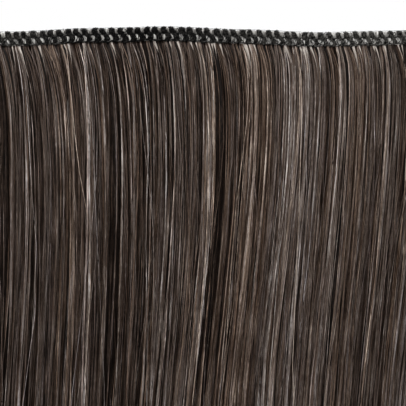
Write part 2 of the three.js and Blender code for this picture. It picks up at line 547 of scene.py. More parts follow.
@dataclass(frozen=True)
class FoldFinish:
    """The glossy folds of hair that show between the stitches, painted pale grey as highlights on their
    bulges.

    Attributes:
        stops: The colours from the darkest tone to the lightest, pale with painted highlight.
        strand_cells, drift_cells, drift: How finely a fold's tone changes across and along it, and how far.
        lower_part, lower_edge, lower_painted_light: How far up the lower gaps reach, and how much painted
        light lifts them against the shade that the rows above cast there.
        fibre_cells: How finely its gloss changes along it.
        roughness, roughness_change: The least roughness, and how much it changes.
    """

    name: str = "folded_hair_painted_highlights"
    stops: Stops = (
        (0.0, (0.108, 0.1, 0.092)),
        (0.5, (0.222, 0.212, 0.2)),
        (1.0, (0.44, 0.428, 0.41)),
    )
    strand_cells: float = 120.0
    drift_cells: float = 8.0
    drift: float = 0.5
    lower_part: float = 0.3
    lower_edge: float = 0.1
    lower_painted_light: float = 0.26
    fibre_cells: float = 26.0
    roughness: float = 0.34
    roughness_change: float = 0.2

    def material(self) -> Material:
        """Makes the material.

        Returns:
            The material, which reads each fold's tone and length from its map.
        """
        sheet = NodeSheet(self.name)
        tone, along = sheet.strand_place()
        strand = tone * self.strand_cells
        drift = sheet.cells(strand, along * self.drift_cells, NoiseLayer.LENGTH).swing() * self.drift
        # Painted light in the lower gaps, which the rows above shade from the key light.
        lower = (self.lower_part - along).above(0.0, self.lower_edge) * self.lower_painted_light
        fibre = sheet.cells(strand, along * self.fibre_cells, NoiseLayer.OWN)
        roughness = fibre * self.roughness_change + self.roughness
        sheet.shade(Base_Color=sheet.ramp(tone + drift + lower, self.stops), Roughness=roughness)
        return sheet.material


@dataclass(frozen=True)
class ThreadFinish:
    """Black sewing thread with grey specks of painted sheen, the fine spiral of its fibres and a dull shine.

    Attributes:
        seam: The seam, on whose slack stretches the thread is greyer.
        dark, painted_sheen, slack: The colours of the thread, of its grey specks of painted sheen and of its
            slack stretches.
        speck_scale, sheen_step, slack_step: How fine the specks are, and where they start.
        spiral_cells, spiral_turn: How finely the fibres wind, and how far apart they start.
        bump_strength, bump_height: How much the fibres stand out.
        roughness, roughness_change: The least roughness, and how much the specks change it.
        shine: The strength of the reflections.
    """

    seam: Seam
    name: str = "black_thread"
    dark: Colour = (0.0006, 0.0006, 0.0007)
    painted_sheen: Colour = (0.013, 0.0123, 0.0115)
    slack: Colour = (0.043, 0.0405, 0.037)
    speck_scale: float = 1900.0
    sheen_step: Pair = (0.5, 0.16)
    slack_step: Pair = (0.42, 0.16)
    spiral_cells: float = 46.0
    spiral_turn: float = 30.0
    bump_strength: float = 0.35
    bump_height: float = 0.04
    roughness: float = 0.32
    roughness_change: float = 0.3
    shine: float = 0.035

    def material(self) -> Material:
        """Makes the material.

        Returns:
            The material, which is greyer where the seam is slack.
        """
        sheet = NodeSheet(self.name)
        tone, along = sheet.strand_place()
        place = sheet.object_place()
        specks = sheet.noise(place, self.speck_scale)
        wave = self.seam.slack
        turn = (sheet.parts(place)[0] - wave.crest * MM) * (2 * math.pi / (wave.length * MM)) - math.pi / 2
        slackness = turn.sine() * 0.5 + 0.5
        # Grey specks on the black thread: painted sheen.
        taut = sheet.mix(specks.above(*self.sheen_step), self.dark, self.painted_sheen)
        colour = sheet.mix(slackness * specks.above(*self.slack_step), taut, self.slack)
        fibres = (along * self.spiral_cells + tone * self.spiral_turn).sine()
        sheet.shade(
            Base_Color=colour,
            Roughness=specks * self.roughness_change + self.roughness,
            Normal=sheet.bump(fibres, self.bump_strength, self.bump_height),
            Specular_IOR_Level=self.shine,
        )
        return sheet.material


@dataclass(frozen=True)
class CoreFinish:
    """The pressed heads of the hair under the folds: brown, with fine upright fibres.

    Attributes:
        dark, light, light_step: The colours between and on the fibres, and where the light one starts.
        fibre_scale: How fine the fibres are along each axis.
        bump_strength, bump_height: How much they stand out.
        roughness, roughness_change: The least roughness, and how much they change it.
    """

    name: str = "pressed_hair_heads"
    dark: Colour = (0.018, 0.0145, 0.012)
    light: Colour = (0.12, 0.1, 0.085)
    light_step: Pair = (0.35, 0.35)
    fibre_scale: Triple = (4200.0, 900.0, 260.0)
    bump_strength: float = 0.5
    bump_height: float = 0.1
    roughness: float = 0.35
    roughness_change: float = 0.25

    def material(self) -> Material:
        """Makes the material.

        Returns:
            The material, whose fibres are fixed to the part's own frame.
        """
        sheet = NodeSheet(self.name)
        sockets = {"Vector": sheet.object_place(), "Scale": self.fibre_scale}
        stretched = sheet.node("ShaderNodeMapping", {"vector_type": "POINT"}, sockets)
        fibres = sheet.noise(stretched.outputs[0], 1.0)
        sheet.shade(
            Base_Color=sheet.mix(fibres.above(*self.light_step), self.dark, self.light),
            Roughness=fibres * self.roughness_change + self.roughness,
            Normal=sheet.bump(fibres, self.bump_strength, self.bump_height),
        )
        return sheet.material


@dataclass(frozen=True)
class FloorFinish:
    """A plain pale floor with a faint unevenness and some light of its own."""

    name: str = "pale_floor"
    light: Colour = (0.82, 0.82, 0.81)
    shade: Colour = (0.78, 0.78, 0.775)
    cloud_scale: float = 3.0
    roughness: float = 0.75
    roughness_change: float = 0.1
    own_light: float = 0.8

    def material(self) -> Material:
        """Makes the material.

        Returns:
            The material.
        """
        sheet = NodeSheet(self.name)
        cloud = sheet.noise(sheet.object_place(), self.cloud_scale)
        colour = sheet.mix(cloud, self.light, self.shade)
        roughness = cloud * self.roughness_change + self.roughness
        sheet.shade(Base_Color=colour, Roughness=roughness)
        sheet.shade(Emission_Color=colour, Emission_Strength=self.own_light)
        return sheet.material


def smoothstep(value: np.ndarray, start: float, end: float) -> np.ndarray:
    """0 before the start, 1 after the end, and a smooth rise between."""
    share = np.clip((value - start) / (end - start), 0.0, 1.0)
    return share * share * (3.0 - 2.0 * share)


def smooth_through(knots: np.ndarray, count: int) -> np.ndarray:
    """A smooth path through knots.

    Args:
        knots: The knots' coordinates, one row each.
        count: How many points the path has.

    Returns:
        The points, evenly spread over the knots.
    """
    padded = np.vstack([2 * knots[0] - knots[1], knots, 2 * knots[-1] - knots[-2]])
    place = np.linspace(0, len(knots) - 1, count)
    start = np.minimum(place.astype(int), len(knots) - 2)
    t = (place - start)[:, None]
    a, b, c, d = (padded[start + step] for step in range(4))
    return 0.5 * (2 * b + (c - a) * t + (2 * a - 5 * b + 4 * c - d) * t**2 + (3 * b - a - 3 * c + d) * t**3)


def section_turns(paths: np.ndarray, reference: Direction) -> tuple[np.ndarray, np.ndarray]:
    """The two directions across each point of many paths.

    Args:
        paths: Points of shape (paths, points, 3).
        reference: The direction that the first one stays close to.

    Returns:
        The first and the second direction, of the same shape.
    """
    ahead = np.gradient(paths, axis=1)
    ahead /= np.linalg.norm(ahead, axis=2, keepdims=True)
    base = np.array(reference.value)
    first = base - ahead * (ahead @ base)[:, :, None]
    first /= np.linalg.norm(first, axis=2, keepdims=True)
    return first, np.cross(ahead, first)


def twisted_plies(
    paths: np.ndarray, radius: np.ndarray, reference: Direction, lay: float
) -> tuple[np.ndarray, np.ndarray, np.ndarray]:
    """Splits yarns into two plies that wind round each other.

    Args:
        paths: The yarns' middles, of shape (yarns, points, 3).
        radius: Each yarn's radius.
        reference: A direction that no yarn runs along.
        lay: The length of one turn.

    Returns:
        The plies' paths, their radii and the share of the length at each point.
    """
    first, second = section_turns(paths, reference)
    steps = np.linalg.norm(np.diff(paths, axis=1), axis=2)
    length = np.concatenate([np.zeros((len(paths), 1)), np.cumsum(steps, axis=1)], axis=1)
    plies = []
    for half_turn in (0.0, np.pi):
        angle = (2 * np.pi * length / lay + half_turn)[..., None]
        shift = np.cos(angle) * first + np.sin(angle) * second
        plies.append(paths + PLY_OFFSET * radius[:, None, None] * shift)
    along = length / length[:, -1:]
    ply_radius = np.repeat(PLY_RADIUS * radius[:, None], paths.shape[1], axis=1)
    return np.concatenate(plies), np.concatenate([ply_radius] * 2), np.concatenate([along] * 2)


@dataclass
class Tubes:
    """Many thin closed tubes that become one mesh.

    Attributes:
        paths: The middles, of shape (tubes, rings, 3).
        radii: The radii, of shape (tubes, rings).
        tone: A number from 0 to 1 for each tube, which its finish reads.
        along: The share of the length at each ring, from 0 to 1.
        sides: The number of sides.
        reference: A direction that no tube runs along.
        tone_width: How much of the map's width a tube takes up.
        flatness: The thickness as a share of the width.
    """

    paths: np.ndarray
    radii: np.ndarray
    tone: np.ndarray
    along: np.ndarray
    sides: int
    reference: Direction
    tone_width: float = 0.002
    flatness: float = 1.0

    def build(self, name: str) -> Piece:
        """Makes the joined mesh, with each tube's tone and length on its map.

        Args:
            name: The name of the new object.

        Returns:
            The new object, at the origin.
        """
        tubes, rings, sides = (*self.radii.shape, self.sides)
        number = np.arange(tubes * rings * sides).reshape(tubes, rings, sides)
        after = np.roll(number, -1, axis=2)
        walls = np.stack([number[:, :-1], after[:, :-1], after[:, 1:], number[:, 1:]], axis=3)
        caps = np.stack([number[:, 0, ::-1], number[:, -1]], axis=1)
        loops = np.concatenate([walls.reshape(-1), caps.reshape(-1)])
        wall_count = tubes * (rings - 1) * sides
        starts = [4 * np.arange(wall_count), 4 * wall_count + sides * np.arange(2 * tubes)]
        mesh = bpy.data.meshes.new(name)
        mesh.vertices.add(number.size)
        mesh.vertices.foreach_set("co", (self._corners() * MM).astype(np.float32).reshape(-1))
        mesh.loops.add(len(loops))
        mesh.loops.foreach_set("vertex_index", loops.astype(np.int32))
        mesh.polygons.add(wall_count + 2 * tubes)
        mesh.polygons.foreach_set("loop_start", np.concatenate(starts).astype(np.int32))
        mesh.polygons.foreach_set("use_smooth", np.ones(wall_count + 2 * tubes, bool))
        mesh.update(calc_edges=True)
        layer = mesh.uv_layers.new(name=STRAND_MAP)
        layer.uv.foreach_set("vector", self._map().astype(np.float32).reshape(-1))
        piece = bpy.data.objects.new(name, mesh)
        bpy.context.scene.collection.objects.link(piece)
        return piece

    def _corners(self) -> np.ndarray:
        """Works out the corners of every ring.

        Returns:
            The corners, of shape (tubes, rings, sides, 3).
        """
        first, second = section_turns(self.paths, self.reference)
        turn = 2 * np.pi * np.arange(self.sides) / self.sides
        angle = turn + 2 * np.pi * self.tone[:, None, None] * TURNS_OVER_TONES
        wide = np.cos(angle)[..., None] * first[:, :, None]
        deep = self.flatness * np.sin(angle)[..., None] * second[:, :, None]
        return self.paths[:, :, None] + self.radii[:, :, None, None] * (wide + deep)

    def _map(self) -> np.ndarray:
        """Works out the place of every face corner on the map: tone across and length upwards.

        Returns:
            The places, one row for each corner of each face.
        """
        rings = self.radii.shape[1]
        side = np.arange(self.sides)
        shares = np.stack([side, side + 1, side + 1, side], axis=1) / self.sides
        middle = (self.tone * (1 - 2 * self.tone_width) + self.tone_width)[:, None, None, None]
        across = middle + self.tone_width * (shares - 0.5) * np.ones((1, rings - 1, 1, 1))
        below, above = self.along[:, :-1, None, None], self.along[:, 1:, None, None]
        upwards = np.concatenate([below, below, above, above], axis=3) * np.ones((1, 1, self.sides, 1))
        walls = np.stack([across, upwards], axis=4).reshape(-1, 2)
        around = middle[:, 0, 0] + self.tone_width * (side / self.sides - 0.5)
        skew = CAP_SKEW * (side % 2)
        start = np.stack([around[:, ::-1], self.along[:, :1] + skew], axis=2)
        end = np.stack([around, self.along[:, -1:] - skew], axis=2)
        return np.concatenate([walls, np.stack([start, end], axis=1).reshape(-1, 2)])


class Dressed:
    """A sub-assembly, with one of the record's slots, whose pieces stand for one solid."""

    slot: ClassVar[Slot]
    node: Node

    def dress(self, piece: Piece, material: Material) -> None:
        """Gives a piece its finish, ties it to the part and hides the solid it stands for.

        Args:
            piece: The piece.
            material: Its finish.
        """
        piece.data.materials.clear()
        piece.data.materials.append(material)
        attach(piece, BODY)
        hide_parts(self.node.value)
        triangles = sum(len(face.vertices) - 2 for face in piece.data.polygons)
        LOG.info("%s: %d triangles", piece.name, triangles)


@dataclass(frozen=True)
class GapRow:
    """A row of gaps between stitches, in which the folds swell.

    Attributes:
        side: 1 where the gaps lie over whole pitches from the middle of the band, or -1 between them.
        up: The height of the gaps' middle above the seam's line.
        slant: How far a gap leans along the band for its height.
        slant_up: The height at which it lies in its place.
    """

    side: float
    up: float
    slant: float
    slant_up: float


@dataclass
class PressedBand(Dressed):
    """The strip of pressed hair heads, and the folds of hair that wrap it.

    Attributes:
        columns, core_inset: The strip's columns, and how far it lies inside the band.
        column_grip: How close to a column a corner of it lies.
        edge_round, edge_steps: The rounding of its edges.
        sharp_angle, smooth_angle: The angles of edges that are rounded, and of those shaded smooth.
        folds, fold_radius, fold_sides: The number, radius and sides of the folds.
        fold_range, fold_stray: How much their radius and their place differ.
        fold_inset: How far they stay from the band's ends.
        face_rings: The heights of a fold's rings on the face.
        back_rings: The distance out and the height of its rings over the top and down the back.
        lean, lean_turn: How far the folds lean to and fro, and how fast.
        tone, slack_tone, tone_limits: Their tone, which sets how bright their painted highlight is, and its
            spread, how slack lightens it, and its limits.
        face_out, swell: How far they stand out of the band's back, and how much further in a gap.
        gaps, gap_half_height, gap_roundness: The rows of gaps, and the form of a gap.
        groove_up, groove_half_height, groove_depth: The groove between the two rows of stitches.
    """

    seam: Seam
    node: Node = Node.BAND
    columns: int = 100
    core_inset: float = 0.42
    column_grip: float = 0.01
    edge_round: float = 0.3
    edge_steps: int = 3
    sharp_angle: float = 50.0
    smooth_angle: float = 40.0
    folds: int = 620
    fold_radius: float = 0.22
    fold_sides: int = 4
    fold_range: Pair = (0.85, 1.15)
    fold_stray: float = 0.08
    fold_inset: float = 0.5
    fold_seed: int = 11
    face_rings: tuple[float, ...] = (
        -1.8, -1.55, -1.25, -0.95, -0.6, -0.25, 0.1, 0.45, 0.8, 1.12, 1.42, 1.7,
    )
    back_rings: tuple[Pair, ...] = (
        (1.0, 1.88), (0.5, 1.86), (0.25, 1.6), (0.22, 0.6), (0.22, -0.9), (0.3, -1.8),
    )
    lean: float = 0.12
    lean_turn: float = 1.4
    tone: Pair = (0.36, 0.2)
    slack_tone: float = 0.56
    tone_limits: Pair = (0.02, 0.98)
    face_out: float = 1.28
    swell: float = 0.62
    gaps: tuple[GapRow, ...] = (GapRow(1.0, 1.4, -0.15, 1.4), GapRow(-1.0, -0.65, 0.3, -0.6))
    gap_half_height: float = 0.95
    gap_roundness: float = 1.5
    groove_up: float = 0.48
    groove_half_height: float = 0.2
    groove_depth: float = 0.2
    slot: ClassVar[Slot] = Slot.BAND

    def build_core(self) -> Piece:
        """Models the strip from a box: cut into columns, raised along the seam and rounded.

        Returns:
            The strip.
        """
        seam = self.seam
        bpy.ops.object.select_all(action="DESELECT")
        thickness = seam.band_thickness - 2 * self.core_inset
        middle = (0.0, -seam.band_thickness / 2 * MM, 0.0)
        size = (seam.width * MM, thickness * MM, (seam.band_height - 2 * self.core_inset) * MM)
        bpy.ops.mesh.primitive_cube_add(size=1.0, location=middle, scale=size)
        core = bpy.context.active_object
        core.name = "pressed_band"
        bpy.ops.object.transform_apply(location=True, rotation=True, scale=True)
        bpy.ops.object.mode_set(mode="EDIT")
        mesh = bmesh.from_edit_mesh(core.data)
        for edge in mesh.edges:
            edge.select_set(abs(edge.verts[0].co.x - edge.verts[1].co.x) > seam.pitch * MM)
        bmesh.update_edit_mesh(core.data)
        bpy.ops.mesh.subdivide(number_cuts=self.columns - 1)
        for x in np.linspace(-seam.width / 2, seam.width / 2, self.columns + 1):
            self._raise_column(core, float(x))
        bpy.ops.mesh.select_all(action="DESELECT")
        bpy.ops.mesh.edges_select_sharp(sharpness=math.radians(self.sharp_angle))
        bpy.ops.mesh.bevel(offset=self.edge_round * MM, segments=self.edge_steps, affect="EDGES")
        bpy.ops.mesh.select_all(action="SELECT")
        bpy.ops.mesh.normals_make_consistent(inside=False)
        bpy.ops.object.mode_set(mode="OBJECT")
        bpy.ops.object.shade_smooth_by_angle(angle=math.radians(self.smooth_angle))
        return core

    def _raise_column(self, core: Piece, x: float) -> None:
        """Lifts the corners of one column of the strip to the seam's line.

        Args:
            core: The strip, in edit mode.
            x: The column's place along the band.
        """
        mesh = bmesh.from_edit_mesh(core.data)
        for corner in mesh.verts:
            corner.select_set(abs(corner.co.x - x * MM) < self.column_grip * MM)
        mesh.select_flush_mode()
        bmesh.update_edit_mesh(core.data)
        rise = float(self.seam.rise(np.array(x))) * MM
        bpy.ops.transform.translate(value=(0.0, 0.0, rise))

    def build_folds(self) -> Piece:
        """Lays a row of folds over the band, which swell in the gaps between the stitches.

        Returns:
            The folds as one joined mesh.
        """
        seam = self.seam
        rng = np.random.default_rng(self.fold_seed)
        half = seam.width / 2 - self.fold_inset
        x = np.linspace(-half, half, self.folds) + rng.uniform(-self.fold_stray, self.fold_stray, self.folds)
        up = np.array(self.face_rings)
        out = self._face_out(x[:, None], up[None, :])
        face = np.stack([out, np.broadcast_to(up, out.shape)], axis=2)
        back = np.broadcast_to(np.array(self.back_rings), (len(x), len(self.back_rings), 2))
        profile = np.concatenate([face, back], axis=1)
        along_band = x[:, None] + self.lean * np.sin(profile[:, :, 1] * self.lean_turn + x[:, None])
        paths = np.stack([along_band, -profile[:, :, 0], seam.rise(along_band) + profile[:, :, 1]], axis=2)
        rings = paths.shape[1]
        radii = np.repeat(rng.uniform(*self.fold_range, (len(x), 1)) * self.fold_radius, rings, axis=1)
        along = np.repeat(np.linspace(0, 1, rings)[None], len(x), axis=0)
        # A fold's tone sets how bright its painted highlight is; where the seam is slack it is brighter.
        tone = rng.normal(*self.tone, len(x)) + self.slack_tone * (1 - seam.fullness(x))
        tone = np.clip(tone, *self.tone_limits)
        return Tubes(paths, radii, tone, along, self.fold_sides, Direction.ALONG_BAND).build("folded_heads")

    def _face_out(self, x: np.ndarray, up: np.ndarray) -> np.ndarray:
        """Works out how far the folds stand out of the band's back.

        Args:
            x: Places along the band.
            up: Heights above the seam's line.

        Returns:
            The distances, which are largest between two stitches of a row.
        """
        swollen = np.zeros(np.broadcast_shapes(x.shape, up.shape))
        for row in self.gaps:
            slanted = x + row.slant * (up - row.slant_up)
            turn = 2 * np.pi * slanted / self.seam.pitch
            across = np.clip(row.side * np.cos(turn), 0, 1) ** self.gap_roundness
            swollen += across * np.clip(1 - ((up - row.up) / self.gap_half_height) ** 2, 0, 1)
        grooved = np.abs(up - self.groove_up) < self.groove_half_height
        return self.face_out + self.swell * swollen - self.groove_depth * grooved


@dataclass(frozen=True)
class Bend:
    """A knot on a stitch's yarn: out from the band's back, up from the seam, aside, and its fan."""

    out: float
    up: float
    aside: float
    fan: float


@dataclass
class StitchRow(Dressed):
    """One row of stitches: each is a few twisted yarns that lie side by side in an arc.

    Attributes:
        shift: How far the row is shifted along the band, as a share of the pitch.
        bends: The knots of a stitch's arc.
        yarns: The places of its yarns side by side, as shares of the fan.
        yarn_radius, radius_range, thinning: A yarn's radius, how it differs, and how it thins where slack.
        slackness: How much of the seam's slack the row has.
        fan_kept, sink: The least share of the fan where slack, and how far a slack stitch sinks in.
        crown, crown_up: How far the outer yarns lie behind the middle one, and below it as a share.
        unevenness: How far the knots stray aside, out, up and in their fan.
        place_stray, out_stray, turning: How far a stitch strays aside, a yarn outwards, and a stitch's tilt.
        points, lay, sides, tones: A yarn's points, the length of its twist, its sides and its tones.
    """

    seam: Seam
    name: str
    node: Node
    shift: float
    seed: int
    bends: tuple[Bend, ...]
    yarns: tuple[float, ...] = (-1.0, 0.0, 1.0)
    yarn_radius: float = 0.34
    radius_range: Pair = (0.85, 1.1)
    thinning: float = 0.8
    slackness: float = 1.0
    fan_kept: float = 0.4
    sink: float = 0.06
    crown: float = 0.16
    crown_up: float = 0.05
    unevenness: tuple[float, float, float, float] = (0.1, 0.03, 0.07, 0.05)
    place_stray: float = 0.1
    out_stray: float = 0.04
    turning: float = 0.14
    points: int = 12
    lay: float = 2.6
    sides: int = 4
    tones: Pair = (0.05, 0.95)
    slot: ClassVar[Slot] = Slot.THREAD

    def build(self) -> Piece:
        """Makes the row.

        Returns:
            The row as one joined mesh.
        """
        rng = np.random.default_rng(self.seed)
        knots = np.array([(bend.aside, bend.out, bend.up, bend.fan) for bend in self.bends])
        paths, radii = [], []
        for x in self.seam.stitch_places(self.shift):
            full = 1 - self.slackness * (1 - float(self.seam.fullness(np.array(x))))
            arc = smooth_through(knots + rng.normal(0.0, self.unevenness, knots.shape), self.points)
            arc_aside, arc_out, arc_up, arc_fan = arc.T
            middle = x + rng.normal(0.0, self.place_stray)
            turn = rng.normal(0.0, self.turning)
            fan = (self.fan_kept + (1 - self.fan_kept) * full) * arc_fan
            for yarn in self.yarns:
                aside = middle + arc_aside + yarn * fan + turn * arc_up
                sunk = arc_out * (1 - self.sink * (1 - full))
                out = sunk - self.crown * abs(yarn) + rng.normal(0, self.out_stray)
                height = arc_up * (1 - self.crown_up * abs(yarn))
                paths.append(np.stack([aside, -out, self.seam.rise(aside) + height], axis=1))
                radii.append(self.yarn_radius * full**self.thinning * rng.uniform(*self.radius_range))
        plies, ply_radii, along = twisted_plies(
            np.array(paths), np.array(radii), Direction.ALONG_BAND, self.lay
        )
        tone = rng.uniform(*self.tones, len(plies))
        return Tubes(plies, ply_radii, tone, along, self.sides, Direction.ALONG_BAND).build(self.name)


@dataclass(frozen=True)
class LoopRow:
    """Slack loops on a row of stitches.

    Attributes:
        shift: How far the row is shifted along the band, as a share of the pitch.
        turn: 1 for loops the right way up, or -1 for loops upside down.
        up: The height of their middle above the seam's line.
        kept: The share of the loops that the row has.
    """

    shift: float
    turn: float
    up: float
    kept: float


@dataclass
class LooseLoops(Dressed):
    """Thin loops of slack thread that curl over some of the gaps between the stitches.

    Attributes:
        rows, rounds: The rows that have loops, and how often each gap may get one.
        share, loose_share: How likely a loop is where the seam is taut, and how much likelier where slack.
        width_range, height_range, place_stray: How the loops differ.
        bends: The knots of a loop.
        curl_share, curl_loose_share: The same chances for an open ring over a gap of the lower row.
        curl_size, curl_turn: The radius of such a ring, and how far round it goes.
        curl_up, curl_out, curl_lift: Its height, its distance out of the band, and how much that changes.
        curl_stray: How far it strays along the band and upwards.
        radius, points, sides, tones: The thread's radius, points, sides and tones.
    """

    seam: Seam
    node: Node = Node.CHAIN
    name: str = "slack_loops"
    seed: int = 33
    rows: tuple[LoopRow, ...] = (LoopRow(0.0, 1.0, 0.0, 1.0), LoopRow(0.5, -1.0, 0.75, 0.25))
    rounds: int = 2
    share: float = 0.36
    loose_share: float = 1.5
    width_range: Pair = (0.5, 1.1)
    height_range: Pair = (0.7, 1.0)
    place_stray: float = 0.12
    bends: tuple[Bend, ...] = (
        Bend(1.75, 0.35, -0.55, 0.0),
        Bend(2.12, -0.05, 0.2, 0.0),
        Bend(2.2, -0.6, 0.42, 0.0),
        Bend(2.12, -1.15, 0.05, 0.0),
        Bend(1.7, -1.6, -0.35, 0.0),
    )
    curl_share: float = 0.45
    curl_loose_share: float = 1.4
    curl_size: Pair = (0.25, 0.5)
    curl_turn: Pair = (3.6, 5.6)
    curl_up: float = -0.95
    curl_out: float = 2.02
    curl_lift: float = 0.12
    curl_stray: Pair = (0.3, 0.4)
    radius: Pair = (0.06, 0.11)
    points: int = 10
    sides: int = 4
    tones: Pair = (0.05, 0.95)
    slot: ClassVar[Slot] = Slot.THREAD

    def build(self) -> Piece:
        """Makes the loops of both rows and the open rings.

        Returns:
            The loops as one joined mesh.
        """
        rng = np.random.default_rng(self.seed)
        arc = smooth_through(np.array([(bend.aside, bend.out, bend.up) for bend in self.bends]), self.points)
        paths = []
        for row in self.rows:
            places = self.seam.stitch_places(row.shift)
            likely = row.kept * (self.share + self.loose_share * (1 - self.seam.fullness(places)))
            drawn = [places[rng.uniform(size=len(places)) < likely] for _ in range(self.rounds)]
            for x in np.concatenate(drawn):
                side = rng.choice((-1.0, 1.0))
                width = side * rng.uniform(*self.width_range)
                aside = x + arc[:, 0] * width + rng.normal(0, self.place_stray)
                height = arc[:, 2] * row.turn * rng.uniform(*self.height_range) + row.up
                paths.append(np.stack([aside, -arc[:, 1], self.seam.rise(aside) + height], axis=1))
        paths += self._curls(rng)
        count = len(paths)
        radii = rng.uniform(*self.radius, (count, 1)) * np.ones((1, self.points))
        along = np.linspace(0, 1, self.points) * np.ones((count, 1))
        tone = rng.uniform(*self.tones, count)
        return Tubes(np.array(paths), radii, tone, along, self.sides, Direction.OUT).build(self.name)

    def _curls(self, rng: np.random.Generator) -> list[np.ndarray]:
        """Draws open rings of thread over the lower gaps, most of them where the seam is slack.

        Args:
            rng: The loops' draws.

        Returns:
            The rings' points.
        """
        places = self.seam.stitch_places(0.0)
        likely = self.curl_share + self.curl_loose_share * (1 - self.seam.fullness(places))
        aside_stray, up_stray = self.curl_stray
        curls = []
        for x in places[rng.uniform(size=len(places)) < likely]:
            turn = rng.uniform(0, 2 * np.pi) + np.linspace(0, rng.uniform(*self.curl_turn), self.points)
            size = rng.uniform(*self.curl_size)
            aside = x + rng.normal(0, aside_stray) + size * np.cos(turn)
            height = self.curl_up + rng.normal(0, up_stray) + size * np.sin(turn)
            out = self.curl_out + self.curl_lift * np.sin(turn / 2)
            curls.append(np.stack([aside, -out, self.seam.rise(aside) + height], axis=1))
        return curls


@dataclass
class RunningThread(Dressed):
    """A thin twisted thread that runs along the whole band.

    Attributes:
        out, up: Its distance out of the band's back, and its height above the seam's line.
        radius: Its radius.
        ripple: How far it rises and falls with each stitch.
        wander, wander_length: How far it strays up and down, and over which length.
        step, lay, sides, tones: The step between points, the twist's length, the plies' sides and tones.
    """

    seam: Seam
    name: str
    node: Node
    out: float
    up: float
    radius: float
    ripple: float
    wander: float = 0.0
    wander_length: float = 1.7
    seed: int = 35
    step: float = 0.55
    lay: float = 2.2
    sides: int = 5
    tones: Pair = (0.3, 0.7)
    slot: ClassVar[Slot] = Slot.THREAD

    def build(self) -> Piece:
        """Makes the thread.

        Returns:
            The thread's two plies as one mesh.
        """
        reach = self.seam.width / 2 - self.seam.end_inset
        x = np.arange(-reach, reach, self.step)
        ripple = self.ripple * np.cos(2 * np.pi * x / self.seam.pitch)
        knots = np.arange(-reach, reach + self.wander_length, self.wander_length)
        astray = np.random.default_rng(self.seed).normal(0, self.wander, len(knots))
        height = self.up + ripple + np.interp(x, knots, astray)
        path = np.stack([x, np.full_like(x, -self.out), self.seam.rise(x) + height], axis=1)
        radius = np.array([self.radius])
        plies, radii, along = twisted_plies(path[None], radius, Direction.UP, self.lay)
        return Tubes(plies, radii, np.array(self.tones), along, self.sides, Direction.UP).build(self.name)


@dataclass(frozen=True)
class LockSection:
    """A lock's half width, half depth and distance in front of the band's back, at a share of its length."""

    down: float
    half_width: float
    half_depth: float
    forward: float


@dataclass(frozen=True)
class SideFlow:
    """How the hair flows at one side: the lean's reach, and the sway with the depths it lies between."""

    reach: float
    sway: float
    start: float
    end: float


